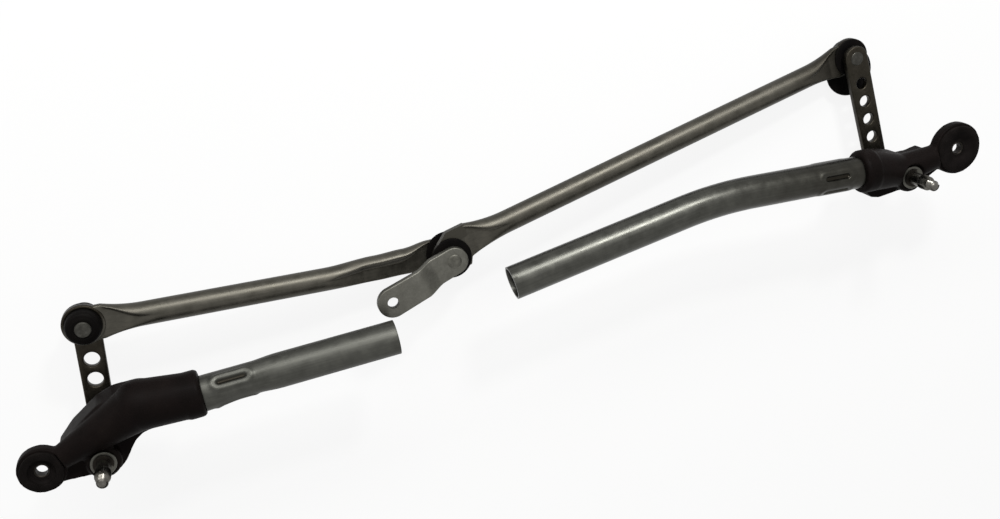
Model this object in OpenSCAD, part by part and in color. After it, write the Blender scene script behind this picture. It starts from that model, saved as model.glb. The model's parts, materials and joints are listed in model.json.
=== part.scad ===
// Windscreen wiper linkage: two half frames joined by their cranks and link rods.
// Millimetres. The origin is on the left wiper shaft at the top face of its boss.
// +Z runs along both shafts to the wiper arms and +X runs to the right shaft.

/* [Layout] */
// distance between the two wiper shafts
shaft_spacing = 640; // [604:2:684]
// left crank length from wiper shaft to ball stud
left_crank_len = 90; // [82:1:100]
// right crank length from wiper shaft to ball stud
right_crank_len = 92; // [84:1:102]
// plan angle of the left crank from the X axis
left_crank_angle = 78.8; // [74:0.2:86]
// plan angle of the right crank from the X axis
right_crank_angle = 94.5; // [89:0.5:100]
// motor crank stud, along X from the left shaft
stud_x = 276; // [263:1:289]
// motor crank stud, along Y from the line of the shafts
stud_y = 46; // [41:1:51]
// height of the boss round each wiper shaft
boss_h = 44; // [40:1:50]
// drop of the tube axes below the boss top
tube_drop = 4; // [2:0.5:6]

/* [Tubes] */
// outside diameter of both frame tubes
tube_od = 25; // [23:0.5:27]
// wall of both frame tubes
tube_wall = 1.5; // [1.2:0.1:2]
// left tube length outside its collar
left_tube_len = 140; // [120:1:146]
// plan angle of the left tube
left_tube_angle = -3.8; // [-6:0.2:-2]
// diameter reduction where the left tube is necked at its crimps
neck_cut = 2; // [1:0.1:2.4]
// right tube: straight length from the collar to the bend
right_run_a = 90; // [74:1:100]
// right tube: straight length from the bend to the free end
right_run_b = 140; // [120:1:150]
// right tube: plan angle where it leaves its collar
right_tube_angle = 171.5; // [169:0.5:174]
// right tube: bend angle
right_bend = 12; // [8:0.5:15]
// right tube: bend radius on the axis
right_bend_r = 280; // [220:5:340]
// crimp length
crimp_len = 22; // [18:1:25]
// crimp width
crimp_w = 5; // [4:0.25:6]
// crimp depth
crimp_depth = 1; // [0.6:0.1:1.1]

/* [Link rods] */
// outside diameter of both link rods
rod_od = 17; // [15:0.5:18]
// wall of both link rods
rod_wall = 1.2; // [1:0.1:1.6]
// thickness of the pressed ends at the eyes
flat_t = 5; // [4:0.25:6]
// left rod: sideways step of the tube below its inner eye
left_rod_step = 4.5; // [2:0.5:6]
// right rod: sideways step of the tube above its inner eye
right_rod_step = 6.5; // [4:0.5:8]
// left rod: length of the long pressed inner end
left_flat_len = 88; // [78:1:96]

/* [Ball joints] */
// ball diameter
ball_d = 14; // [13:0.25:15]
// plastic round the ball
socket_wall = 5; // [4.5:0.25:6]
// steel ring round the socket
eye_wall = 2; // [1.6:0.1:2.6]
// distance of the left ball's centre from its crank
left_ball_rise = 20; // [18:0.25:22]
// distance of the right ball's centre from its crank
right_ball_rise = 14; // [13.75:0.25:18]
// distance of an outer eye from its ball's centre, towards the crank
eye_drop = 7; // [6:0.25:7.5]
// distance of an inner eye from its ball's centre, towards the motor crank
inner_drop = 4; // [3:0.25:5]

/* [Cranks] */
// width of the wiper cranks
crank_w = 18.5; // [17:0.5:21]
// thickness of the wiper cranks
crank_t = 5; // [4:0.25:6]
// lightening holes in the left crank
left_hole_d = 11; // [8:0.25:11.5]
// lightening holes in the right crank
right_hole_d = 9; // [7:0.25:10]
// pitch of the lightening holes
hole_pitch = 15.5; // [13:0.25:16]
// motor crank radius, from its hub hole to its stud
motor_crank_len = 54; // [50:1:58]
// plan direction from the motor crank's stud to its hub hole
motor_crank_angle = 193; // [187:0.5:199]
// thickness of the motor crank
plate_t = 5; // [4:0.25:5.5]
// height step along the motor crank
plate_step = 8; // [6:0.5:10]
// hub hole for the motor shaft
hub_hole_d = 9; // [8:0.25:10]

/* [Wiper shafts] */
// shaft diameter in the bushes
shaft_d = 10; // [9:0.25:11]
// reach of the shaft above its boss
shaft_reach = 30; // [27:0.5:34]
// diameter of the threaded tip
thread_d = 8; // [7:0.25:8.5]
// outside diameter of the washer above the boss
washer_od = 18; // [17:0.25:20]

/* [Housings] */
// boss diameter
boss_d = 25; // [24:0.5:28]
// collar diameter at the tube
collar_od = 33.5; // [32:0.5:36]
// left mounting lug diameter
left_lug_od = 33; // [32:0.5:36]
// right mounting lug diameter
right_lug_od = 41; // [38:0.5:43]
// mounting lug thickness
lug_h = 8.5; // [8:0.5:11]
// distance from wiper shaft to mounting lug along X
lug_x = 39; // [38:0.5:43]
// bore of the sleeve in each grommet
sleeve_bore = 8; // [7:0.25:9]
// length of the sleeve in each grommet
sleeve_len = 7; // [6:0.25:9]

/* [Clearances] */
// radial clearance of the shafts and balls that turn
run_fit = 0.05; // [0.03:0.01:0.08]
// gap between faces that turn past each other
face_gap = 0.4; // [0.3:0.05:0.6]
// vertical gap between the tubes and the motor crank below them
sweep_gap = 3; // [2:0.25:5]

/* [Hidden] */
$fn = 64;
eps = 0.01;

tube_z = -tube_drop;
tube_id = tube_od - 2 * tube_wall;

// ball joints
socket_d = ball_d + 2 * socket_wall;
socket_lip = 1.5;
socket_gap = 2;
eye_od = socket_d + 2 * eye_wall;
flange_d = eye_od + 1;
eye_h = flat_t + 0.6;
mouth_d = ball_d - 3;
neck_d = mouth_d - 3;
ball_flat_d = mouth_d - 1;
ball_flat_h = sqrt(pow(ball_d / 2, 2) - pow(ball_flat_d / 2, 2));
outer_base = eye_drop + eye_h / 2 + socket_lip;
inner_base = inner_drop + eye_h / 2 + socket_lip;
dome_top = ball_flat_h - 0.9;
dome_d = 2 * sqrt(pow(ball_d / 2, 2) - pow(dome_top, 2)) + 3;
shield_d = 40;
shield_reach = 13;
shield_t = 2.5;

// heights of the cranks and balls
thrust_t = 2;
crank_top = -boss_h - thrust_t;
crank_bottom = crank_top - crank_t;
left_ball_z = crank_top + left_ball_rise;
right_ball_z = crank_bottom - right_ball_rise;
hub_top = tube_z - tube_od / 2 - sweep_gap;
hub_bottom = hub_top - plate_t;
stud_plate_top = hub_top - plate_step;
stud_plate_bottom = stud_plate_top - plate_t;
stud_collar_t = 1.6;
right_inner_z = stud_plate_bottom - stud_collar_t - face_gap - inner_base;
left_inner_z = right_inner_z - dome_top - socket_gap - inner_base;

// link rods
drain_d = 4;
plug_len = 4;
press_lap = 0.8;
press_cut = 0.8;
inner_tail = 46;
outer_tail = 42;
waist_w = rod_od + 1.5;
waist_t = flat_t + 1.5;
waist_rise = 24;

// plan positions of the joints
left_ball = [left_crank_len * cos(left_crank_angle), left_crank_len * sin(left_crank_angle),
    left_ball_z];
right_ball = [shaft_spacing + right_crank_len * cos(right_crank_angle),
    right_crank_len * sin(right_crank_angle), right_ball_z];
left_inner = [stud_x, stud_y, left_inner_z];
right_inner = [stud_x, stud_y, right_inner_z];
left_outer_eye = left_ball - [0, 0, eye_drop];
left_inner_eye = left_inner + [0, 0, inner_drop];
right_inner_eye = right_inner + [0, 0, inner_drop];
right_outer_eye = right_ball + [0, 0, eye_drop];

// wiper shafts
stub_d = shaft_d - 2;
rivet_t = 1.5;
washer_t = 1.4;
clip_t = 1.2;
clip_z = face_gap + washer_t;
groove_d = shaft_d - 1.4;
knurl_len = 8;
thread_len = 8;
tip_cut = 1.8;
thread_z = shaft_reach - thread_len;
knurl_z = thread_z - knurl_len;
bush_od = shaft_d + 4;
bush_len = 12;
seal_od = bush_od + 2;
seal_h = 3;

// studs
shank_d = neck_d + 1;
stud_collar_d = shank_d + 6;
single_collar_t = right_ball_rise - outer_base - 0.7;
stud_head_d = shank_d + 1.6;
stud_head_t = 0.7;

// frames
left_collar = [77.5, 24.2, tube_z];
left_shoulder = [36, 30, tube_z - 1];
shoulder_d = collar_od + 3;
right_collar = [-44, 17.6, tube_z];
left_lug = [-lug_x, 8.6, -6];
right_lug = [lug_x + 5.5, 9.2, -6];
collar_len = 12;
spigot_len = 42;
neck_len = 38;
neck_taper = 14;
neck_od = tube_od - neck_cut;
neck_id = neck_od - 2 * tube_wall;
core_d = neck_id - 8;
bend_lap = 1;
bend_thin = 0.04;
crimp_at = 24;
left_crimps = [43, 163, 283];
right_crimps = [47, -13, 167, 227];
web_top = -8;
web_bottom = -30;

// grommets
rim = 4;
groove = 4;
grommet_lip = 2.5;
grommet_h = lug_h + 2 * grommet_lip;
sleeve_od = sleeve_bore + 3;

casting = [0.09, 0.085, 0.08];
zinc = [0.62, 0.62, 0.59];
dark_steel = [0.2, 0.19, 0.17];
bright_steel = [0.7, 0.69, 0.66];
plastic = [0.07, 0.065, 0.065];
rubber = [0.06, 0.06, 0.06];
bronze = [0.6, 0.45, 0.25];

// carries a child drawn along +Z to point p, lying flat along plan angle az
module along(p, az) {
    translate(p)
    rotate([0, 90, az])
    children();
}

// carries a child drawn along +Z to point p, aimed at point q
module aimed(p, q) {
    d = q - p;
    translate(p)
    rotate([0, acos(d.z / norm(d)), atan2(d.y, d.x)])
    children();
}

// a cone or cylinder between two points
module bar(p, q, d1, d2) {
    aimed(p, q)
    cylinder(d1 = d1, d2 = d2, h = norm(q - p));
}

// flat bar outline with two round ends, from the origin along X
module round_bar(l, w) {
    circle(d = w);
    translate([l, 0])
    circle(d = w);
    translate([0, -w / 2])
    square([l, w]);
}

// an oblong block standing on a tube's side, long way along the tube
module oblong(at, angle, l, w, r1, r2) {
    rotate([0, 0, 180 - angle])
    translate([r1, 0, at])
    rotate([0, 90, 0])
    linear_extrude(height = r2 - r1)
    translate([-(l - w) / 2, 0])
    round_bar(l - w, w);
}

module crimp_dents(angles, od) {
    for (a = angles)
        oblong(crimp_at, a, crimp_len, crimp_w, od / 2 - crimp_depth, od / 2 + 2);
}

module crimp_pads(angles, id) {
    for (a = angles)
        oblong(crimp_at, a, crimp_len - 1, crimp_w - 1, id / 2 - crimp_depth, id / 2 + 0.3);
}

// peg inside the tube, with pockets that the crimps fall into
module spigot(angles, id) {
    difference() {
        translate([0, 0, -1])
        cylinder(d = id, h = spigot_len + 1);
        translate([0, 0, 4])
        cylinder(d = core_d, h = spigot_len);
        for (a = angles)
            oblong(crimp_at, a, crimp_len, crimp_w, id / 2 - crimp_depth - 0.3, id / 2 + 1);
    }
}

// everything cut out of a housing for its shaft and bushes
module boss_bore() {
    translate([0, 0, -boss_h - 1])
    cylinder(d = bush_od, h = boss_h + 2);
    translate([0, 0, -seal_h])
    cylinder(d = seal_od, h = seal_h + 1);
}

module boss() {
    translate([0, 0, -boss_h])
    cylinder(d1 = boss_d - 3, d2 = boss_d, h = 3);
    translate([0, 0, -boss_h + 3])
    cylinder(d = boss_d, h = boss_h - 5);
    translate([0, 0, -2])
    cylinder(d1 = boss_d, d2 = boss_d - 4, h = 2);
}

module lug(od) {
    translate([0, 0, -lug_h / 2])
    cylinder(d = od, h = lug_h);
}

// eye for the grommet, and the room that its flanges need above and below
module lug_bore(od) {
    flange = od - rim;
    translate([0, 0, -lug_h])
    cylinder(d = flange - 2 * groove, h = 2 * lug_h);
    translate([0, 0, lug_h / 2])
    cylinder(d = flange + 1, h = 30);
    translate([0, 0, -lug_h / 2 - 30])
    cylinder(d = flange + 1, h = 30);
}

// collar round the tube's end, drawn along -Z from the tube's face
module collar() {
    translate([0, 0, -2])
    cylinder(d1 = collar_od, d2 = collar_od - 3, h = 2);
    translate([0, 0, -collar_len])
    cylinder(d = collar_od, h = collar_len - 2);
}

module left_housing() {
    back = left_collar - collar_len * [cos(left_tube_angle), sin(left_tube_angle), 0];
    color(casting)
    difference() {
        union() {
            boss();
            along(left_collar, left_tube_angle)
            collar();
            bar(back + [3, 0, 0], left_shoulder, collar_od - 1, shoulder_d - 1);
            along(left_shoulder, left_tube_angle)
            sphere(d = shoulder_d);
            bar(left_shoulder, left_lug + [6, 1, 0], shoulder_d - 1.6, lug_h + 6);
            translate([0, 0, web_bottom])
            linear_extrude(height = web_top - web_bottom)
            polygon([[44, 36], [34, 40], [20, 41], [8, 37.8], [0, 33.5], [-13, 26.3],
                [-26, 15.5], [-32, 12], [-32, -7], [-14, -9.5], [0, -12], [8, -12],
                [14, -7.5], [19, -1.5], [24, 4], [30, 7.4], [38, 8.8], [46, 8.8]]);
            translate(left_lug)
            lug(left_lug_od);
        }
        boss_bore();
        translate(left_lug)
        lug_bore(left_lug_od);
        cylinder(d = boss_d - 4, h = 40);
    }
    color(casting)
    along(left_collar, left_tube_angle)
    spigot(left_crimps, neck_id);
}

module left_tube() {
    color(zinc)
    along(left_collar, left_tube_angle) {
        difference() {
            rotate_extrude()
            polygon([[neck_id / 2, 0], [neck_od / 2, 0], [neck_od / 2, neck_len],
                [tube_od / 2, neck_len + neck_taper], [tube_od / 2, left_tube_len],
                [tube_id / 2, left_tube_len], [tube_id / 2, neck_len + neck_taper],
                [neck_id / 2, neck_len]]);
            crimp_dents(left_crimps, neck_od);
        }
        crimp_pads(left_crimps, neck_id);
    }
}

module upper_bush() {
    color(bronze)
    translate([0, 0, -seal_h - bush_len])
    difference() {
        cylinder(d = bush_od, h = bush_len);
        translate([0, 0, -1])
        cylinder(d = shaft_d + 2 * run_fit, h = bush_len + 2);
    }
}

module lower_bush() {
    color(bronze)
    translate([0, 0, -boss_h])
    difference() {
        cylinder(d = bush_od, h = bush_len);
        translate([0, 0, -1])
        cylinder(d = shaft_d + 2 * run_fit, h = bush_len + 2);
    }
}

module shaft_seal() {
    color(rubber)
    translate([0, 0, -seal_h])
    difference() {
        cylinder(d = seal_od, h = seal_h);
        translate([0, 0, -1])
        cylinder(d = shaft_d + 2 * run_fit, h = seal_h + 2);
    }
}

// rubber ring that clips into a lug, dished on both faces round its short sleeve
module grommet(od) {
    flange = od - rim;
    waist = flange - 2 * groove;
    color(rubber)
    rotate_extrude()
    polygon([[sleeve_od / 2, -sleeve_len / 2], [sleeve_od / 2 + 1.5, -sleeve_len / 2],
        [waist / 2 - 1, -grommet_h / 2], [flange / 2 - 1, -grommet_h / 2],
        [flange / 2, -grommet_h / 2 + 1], [flange / 2, -lug_h / 2], [waist / 2, -lug_h / 2],
        [waist / 2, lug_h / 2], [flange / 2, lug_h / 2], [flange / 2, grommet_h / 2 - 1],
        [flange / 2 - 1, grommet_h / 2], [waist / 2 - 1, grommet_h / 2],
        [sleeve_od / 2 + 1.5, sleeve_len / 2], [sleeve_od / 2, sleeve_len / 2]]);
}

module sleeve() {
    color(dark_steel)
    translate([0, 0, -sleeve_len / 2])
    difference() {
        cylinder(d = sleeve_od, h = sleeve_len);
        translate([0, 0, -1])
        cylinder(d = sleeve_bore, h = sleeve_len + 2);
    }
}

// turned shaft with knurled seat, threaded tip, clip groove and riveted foot
module wiper_shaft() {
    color(bright_steel)
    rotate_extrude()
    polygon([[0, crank_bottom - rivet_t], [stub_d / 2 + 1.5, crank_bottom - rivet_t],
        [stub_d / 2 + 2, crank_bottom], [stub_d / 2, crank_bottom], [stub_d / 2, crank_top],
        [shaft_d / 2, crank_top], [shaft_d / 2, clip_z], [groove_d / 2, clip_z],
        [groove_d / 2, clip_z + clip_t], [shaft_d / 2, clip_z + clip_t],
        [shaft_d / 2, knurl_z], [shaft_d / 2 - 0.4, thread_z], [thread_d / 2, thread_z],
        [thread_d / 2, shaft_reach - tip_cut], [thread_d / 2 - tip_cut, shaft_reach], [0, shaft_reach]]);
}

module shaft_washer() {
    color(zinc)
    translate([0, 0, face_gap])
    difference() {
        cylinder(d = washer_od, h = washer_t);
        translate([0, 0, -1])
        cylinder(d = shaft_d, h = washer_t + 2);
    }
}

module shaft_clip() {
    color(dark_steel)
    translate([0, 0, clip_z])
    difference() {
        cylinder(d = shaft_d + 4, h = clip_t);
        translate([0, 0, -1])
        cylinder(d = groove_d, h = clip_t + 2);
        translate([0, -groove_d * 0.36, -1])
        cube([shaft_d, groove_d * 0.72, clip_t + 2]);
    }
}

module thrust_washer() {
    color(zinc)
    translate([0, 0, crank_top])
    difference() {
        cylinder(d = shaft_d + 10, h = thrust_t - face_gap);
        translate([0, 0, -1])
        cylinder(d = shaft_d, h = thrust_t + 2);
    }
}

// flat crank with round ends, drawn along X from the shaft
module crank(l, first_hole, count, hole_d) {
    translate([0, 0, crank_bottom])
    linear_extrude(height = crank_t)
    difference() {
        round_bar(l, crank_w);
        circle(d = stub_d);
        translate([l, 0])
        circle(d = shank_d);
        for (i = [0 : count - 1])
            translate([l - first_hole - i * hole_pitch, 0])
            circle(d = hole_d);
    }
}

// ball stud pointing up from the top face of a crank at height 0
module ball_stud(rise) {
    rotate_extrude()
    polygon([[0, -crank_t - stud_head_t], [stud_head_d / 2 - 0.5, -crank_t - stud_head_t],
        [stud_head_d / 2, -crank_t], [shank_d / 2, -crank_t], [shank_d / 2, 0],
        [stud_collar_d / 2, 0], [stud_collar_d / 2, single_collar_t - 0.5],
        [stud_collar_d / 2 - 0.5, single_collar_t], [neck_d / 2, single_collar_t],
        [neck_d / 2, rise], [0, rise]]);
    translate([0, 0, rise])
    difference() {
        sphere(d = ball_d);
        translate([0, 0, ball_flat_h])
        cylinder(d = ball_d, h = ball_d);
    }
}

// plastic cup round one ball, domed on the side away from the crank
// its eye lies the given drop from the ball's centre, and its flange covers the eye's crank side
module ball_socket(drop) {
    base = -drop - eye_h / 2 - socket_lip;
    seat = -drop + eye_h / 2;
    color(plastic)
    difference() {
        rotate_extrude()
        polygon([[0, base], [flange_d / 2 - 0.6, base], [flange_d / 2, base + 0.6],
            [flange_d / 2, base + socket_lip], [socket_d / 2, base + socket_lip], [socket_d / 2, seat],
            [socket_d / 2 - 0.6, seat + 1], [dome_d / 2 + 2, dome_top - 2], [dome_d / 2, dome_top],
            [0, dome_top]]);
        sphere(d = ball_d + 2 * run_fit);
        translate([0, 0, base - 1])
        cylinder(d = mouth_d, h = 1 - base);
        translate([0, 0, base - eps])
        cylinder(d1 = mouth_d + 3, d2 = mouth_d, h = 1.5);
    }
}

// plate under the rod's eye that keeps dirt off the joint, reaching towards the shaft
module shield(az) {
    color(plastic)
    translate([0, 0, -eye_drop + eye_h / 2 + face_gap])
    rotate([0, 0, az])
    difference() {
        translate([shield_reach, 0, 0])
        cylinder(d = shield_d, h = shield_t);
        translate([0, 0, -1])
        cylinder(d = socket_d - 3, h = shield_t + 2);
    }
}

// thin cross-section of a pressed rod end, at distance e from its eye and set off sideways
module press_slab(p, az, e, off, w, t) {
    translate(p)
    rotate([0, 0, az])
    translate([e, off - w / 2, -t / 2])
    cube([0.4, w, t]);
}

// round tube between points t0 and t1, closed at both ends by the pressed eyes
// and drained by a small hole underneath
module rod_tube(t0, t1) {
    difference() {
        bar(t0, t1, rod_od, rod_od);
        aimed(t0, t1)
        translate([0, 0, plug_len])
        cylinder(d = rod_od - 2 * rod_wall, h = norm(t1 - t0) - 2 * plug_len);
        translate(t0 + 0.5 * (t1 - t0) - [0, 0, rod_od])
        cylinder(d = drain_d, h = rod_od);
    }
}

// slice just inside the tube's end, for the pressed ends to blend into
module rod_face(t0, t1) {
    aimed(t0, t1)
    translate([0, 0, press_lap])
    cylinder(d = rod_od - press_cut, h = 0.5, $fn = 32);
}

module eye_ring(p) {
    translate(p - [0, 0, eye_h / 2])
    cylinder(d = eye_od, h = eye_h);
}

module eye_bore(p) {
    translate(p - [0, 0, 20])
    cylinder(d = socket_d, h = 40);
}

// flat seat pressed for a socket's flange, above or below an eye
module flange_seat(p, above) {
    translate(p + [0, 0, above ? eye_h / 2 : -eye_h / 2 - 8])
    cylinder(d = flange_d + 2 * face_gap, h = 8);
}

// pressed end that widens from the round tube at t0 to an eye at p
// az points from the eye to the tube; the full width ends at near and the waist is set off there
module fishtail(p, az, t0, t1, near, waist_at, off, rise) {
    hull() {
        press_slab(p, az, 1, 0, eye_od - 3, flat_t);
        press_slab(p, az, near, 0.5 * off, eye_od - 3, flat_t);
        press_slab(p + [0, 0, rise], az, waist_at, off, waist_w, waist_t);
    }
    hull() {
        press_slab(p + [0, 0, rise], az, waist_at - press_lap, off, waist_w - press_cut,
            waist_t - press_cut);
        rod_face(t0, t1);
    }
}

module left_rod() {
    u = [left_inner_eye.x - left_outer_eye.x, left_inner_eye.y - left_outer_eye.y, 0];
    az = atan2(u.y, u.x);
    side = [-sin(az), cos(az), 0];
    aim_end = left_inner_eye - left_rod_step * side;
    w = (aim_end - left_outer_eye) / norm(aim_end - left_outer_eye);
    t0 = left_outer_eye + outer_tail * w;
    t1 = aim_end - left_flat_len * w;
    flat_at = left_flat_len - 22;
    flat_rise = -0.75 * flat_at * w.z;
    color(zinc)
    difference() {
        union() {
            eye_ring(left_outer_eye);
            eye_ring(left_inner_eye);
            rod_tube(t0, t1);
            fishtail(left_outer_eye, az, t0, t1, 15, 0.56 * outer_tail, -2.5, waist_rise * w.z);
            hull() {
                rod_face(t1, t0);
                press_slab(left_inner_eye + [0, 0, flat_rise], az + 180, flat_at - press_lap,
                    0.7 * left_rod_step, rod_od + 2 - press_cut, flat_t + 1.5 - press_cut);
            }
            hull() {
                press_slab(left_inner_eye + [0, 0, flat_rise], az + 180, flat_at, 0.7 * left_rod_step,
                    rod_od + 2, flat_t + 1.5);
                press_slab(left_inner_eye, az + 180, 15, 0.5, eye_od - 6, flat_t);
                press_slab(left_inner_eye, az + 180, 6, 0.5, eye_od - 6, flat_t);
            }
        }
        eye_bore(left_outer_eye);
        eye_bore(left_inner_eye);
        flange_seat(left_outer_eye, false);
        flange_seat(left_inner_eye, true);
    }
}

module right_rod() {
    u = [right_outer_eye.x - right_inner_eye.x, right_outer_eye.y - right_inner_eye.y, 0];
    az = atan2(u.y, u.x);
    side = [-sin(az), cos(az), 0];
    aim_start = right_inner_eye + right_rod_step * side;
    w = (right_outer_eye - aim_start) / norm(right_outer_eye - aim_start);
    t0 = aim_start + inner_tail * w;
    t1 = right_outer_eye - outer_tail * w;
    color(zinc)
    difference() {
        union() {
            eye_ring(right_inner_eye);
            eye_ring(right_outer_eye);
            rod_tube(t0, t1);
            fishtail(right_inner_eye, az, t0, t1, 11, 0.56 * inner_tail, 0.95 * right_rod_step,
                waist_rise * w.z);
            fishtail(right_outer_eye, az + 180, t1, t0, 15, 0.56 * outer_tail, 0, -waist_rise * w.z);
        }
        eye_bore(right_inner_eye);
        eye_bore(right_outer_eye);
        flange_seat(right_inner_eye, true);
        flange_seat(right_outer_eye, true);
    }
}

// cranked plate, drawn along X from its stud
module motor_plate() {
    hub_w = 23;
    stud_w = 21;
    s0 = 15;
    s1 = 28;
    intersection() {
        translate([0, 50, 0])
        rotate([90, 0, 0])
        linear_extrude(height = 100)
        polygon([[-30, stud_plate_bottom], [s0 + 2, stud_plate_bottom], [s1 + 2, hub_bottom],
            [90, hub_bottom], [90, hub_top], [s1, hub_top], [s0, stud_plate_top],
            [-30, stud_plate_top]]);
        translate([0, 0, stud_plate_bottom - 1])
        linear_extrude(height = hub_top - stud_plate_bottom + 2)
        difference() {
            union() {
                circle(d = stud_w);
                polygon([[0, -stud_w / 2], [s0, -stud_w / 2], [s1, -hub_w / 2],
                    [motor_crank_len, -hub_w / 2], [motor_crank_len, hub_w / 2], [s1, hub_w / 2],
                    [s0, stud_w / 2], [0, stud_w / 2]]);
                translate([motor_crank_len, 0])
                circle(d = hub_w);
            }
            circle(d = shank_d);
            translate([motor_crank_len, 0])
            circle(d = hub_hole_d);
        }
    }
}

module motor_crank() {
    color(zinc)
    translate([stud_x, stud_y, 0])
    rotate([0, 0, motor_crank_angle])
    motor_plate();
}

module motor_stud() {
    color(bright_steel)
    translate([stud_x, stud_y, 0]) {
        rotate_extrude()
        polygon([[0, stud_plate_top + stud_head_t], [stud_head_d / 2 - 0.5, stud_plate_top + stud_head_t],
            [stud_head_d / 2, stud_plate_top], [shank_d / 2, stud_plate_top],
            [shank_d / 2, stud_plate_bottom], [stud_collar_d / 2, stud_plate_bottom],
            [stud_collar_d / 2, stud_plate_bottom - stud_collar_t],
            [neck_d / 2, stud_plate_bottom - stud_collar_t], [neck_d / 2, left_inner_z],
            [0, left_inner_z]]);
        translate([0, 0, right_inner_z])
        sphere(d = ball_d);
        translate([0, 0, left_inner_z])
        difference() {
            sphere(d = ball_d);
            translate([0, 0, -ball_flat_h - ball_d])
            cylinder(d = ball_d, h = ball_d);
        }
    }
}

module left_upper_bush() {
    upper_bush();
}

module left_lower_bush() {
    lower_bush();
}

module left_seal() {
    shaft_seal();
}

module left_grommet() {
    translate(left_lug)
    grommet(left_lug_od);
}

module left_sleeve() {
    translate(left_lug)
    sleeve();
}

module left_shaft() {
    wiper_shaft();
}

module left_washer() {
    shaft_washer();
}

module left_clip() {
    rotate([0, 0, -60])
    shaft_clip();
}

module left_thrust_washer() {
    thrust_washer();
}

module left_crank() {
    color(dark_steel)
    rotate([0, 0, left_crank_angle])
    crank(left_crank_len, 32, 2, left_hole_d);
}

module left_stud() {
    color(bright_steel)
    translate([left_ball.x, left_ball.y, crank_top])
    ball_stud(left_ball_rise);
}

module left_outer_socket() {
    translate(left_ball)
    ball_socket(eye_drop);
}

module left_inner_socket() {
    translate(left_inner)
    mirror([0, 0, 1])
    ball_socket(inner_drop);
}

module right_inner_socket() {
    translate(right_inner)
    mirror([0, 0, 1])
    ball_socket(inner_drop);
}

module right_outer_socket() {
    translate(right_ball)
    mirror([0, 0, 1]) {
        ball_socket(eye_drop);
        shield(right_crank_angle + 180);
    }
}

module right_stud() {
    color(bright_steel)
    translate([right_ball.x, right_ball.y, crank_bottom])
    mirror([0, 0, 1])
    ball_stud(right_ball_rise);
}

module right_crank() {
    color(dark_steel)
    translate([shaft_spacing, 0, 0])
    rotate([0, 0, right_crank_angle])
    crank(right_crank_len, 21, 4, right_hole_d);
}

module right_thrust_washer() {
    translate([shaft_spacing, 0, 0])
    thrust_washer();
}

module right_clip() {
    translate([shaft_spacing, 0, 0])
    rotate([0, 0, 30])
    shaft_clip();
}

module right_washer() {
    translate([shaft_spacing, 0, 0])
    shaft_washer();
}

module right_shaft() {
    translate([shaft_spacing, 0, 0])
    wiper_shaft();
}

module right_housing() {
    back = right_collar - collar_len * [cos(right_tube_angle), sin(right_tube_angle), 0];
    waist = [-4, 5, tube_z - 5];
    color(casting)
    translate([shaft_spacing, 0, 0]) {
        difference() {
            union() {
                boss();
                along(right_collar, right_tube_angle)
                collar();
                bar(back - [3, 0, 0], waist, collar_od - 1, boss_d);
                bar(waist, right_lug - [6, 1, 0], boss_d, lug_h + 8);
                translate([0, 0, web_bottom])
                linear_extrude(height = web_top - web_bottom)
                polygon([[-34, 21], [-29, 23.5], [-22, 24], [-10, 20.5], [-1, 17], [6, 12.5],
                    [14, 11.5], [24, 12], [32, 16], [32, -4], [22, -8], [10, -11], [0, -11],
                    [-14, -11.5], [-25, -11.5], [-32, -9], [-36, -3]]);
                translate(right_lug)
                lug(right_lug_od);
            }
            boss_bore();
            translate(right_lug)
            lug_bore(right_lug_od);
            cylinder(d = boss_d - 4, h = 40);
        }
        along(right_collar, right_tube_angle)
        spigot(right_crimps, tube_id);
    }
}

// tube wall of length l along +Z
module tube_run(l) {
    difference() {
        cylinder(d = tube_od, h = l);
        translate([0, 0, -1])
        cylinder(d = tube_id, h = l + 2);
    }
}

// straight run, bend and second run, drawn along +Z from the collar
// each run laps over the bend, which is drawn a hair thinner in its wall
module bent_tube() {
    tube_run(right_run_a + bend_lap);
    translate([0, right_bend_r, right_run_a])
    rotate([0, -90, 0])
    rotate([0, 0, -90])
    rotate_extrude(angle = right_bend, $fn = 180)
    translate([right_bend_r, 0])
    difference() {
        circle(d = tube_od - bend_thin);
        circle(d = tube_id + bend_thin);
    }
    translate([0, right_bend_r, right_run_a])
    rotate([-right_bend, 0, 0])
    translate([0, -right_bend_r, -bend_lap])
    tube_run(right_run_b + bend_lap);
}

module right_tube() {
    color(zinc)
    translate([shaft_spacing, 0, 0])
    along(right_collar, right_tube_angle) {
        difference() {
            bent_tube();
            crimp_dents(right_crimps, tube_od);
        }
        crimp_pads(right_crimps, tube_id);
    }
}

module right_upper_bush() {
    translate([shaft_spacing, 0, 0])
    upper_bush();
}

module right_lower_bush() {
    translate([shaft_spacing, 0, 0])
    lower_bush();
}

module right_seal() {
    translate([shaft_spacing, 0, 0])
    shaft_seal();
}

module right_grommet() {
    translate([shaft_spacing, 0, 0] + right_lug)
    grommet(right_lug_od);
}

module right_sleeve() {
    translate([shaft_spacing, 0, 0] + right_lug)
    sleeve();
}

left_housing();
left_tube();
left_upper_bush();
left_lower_bush();
left_seal();
left_grommet();
left_sleeve();
left_shaft();
left_washer();
left_clip();
left_thrust_washer();
left_crank();
left_stud();
left_rod();
left_outer_socket();
left_inner_socket();
motor_crank();
motor_stud();
right_rod();
right_inner_socket();
right_outer_socket();
right_stud();
right_crank();
right_thrust_washer();
right_clip();
right_washer();
right_shaft();
right_housing();
right_tube();
right_upper_bush();
right_lower_bush();
right_seal();
right_grommet();
right_sleeve();
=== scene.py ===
# %% [markdown]
# # A windscreen wiper linkage
# Two half frames of black die-cast housings and plated tubes carry the wiper shafts. Perforated cranks,
# two link rods with ball joints and a small motor crank tie the shafts together. The solids come in as a
# fixed frame; this lesson gives each piece the rolled edges, knurls and finishes that plain solids lack.

# %% Load the frame
import json
import math

import bmesh
import bpy
from mathutils import Matrix, Vector


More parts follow.
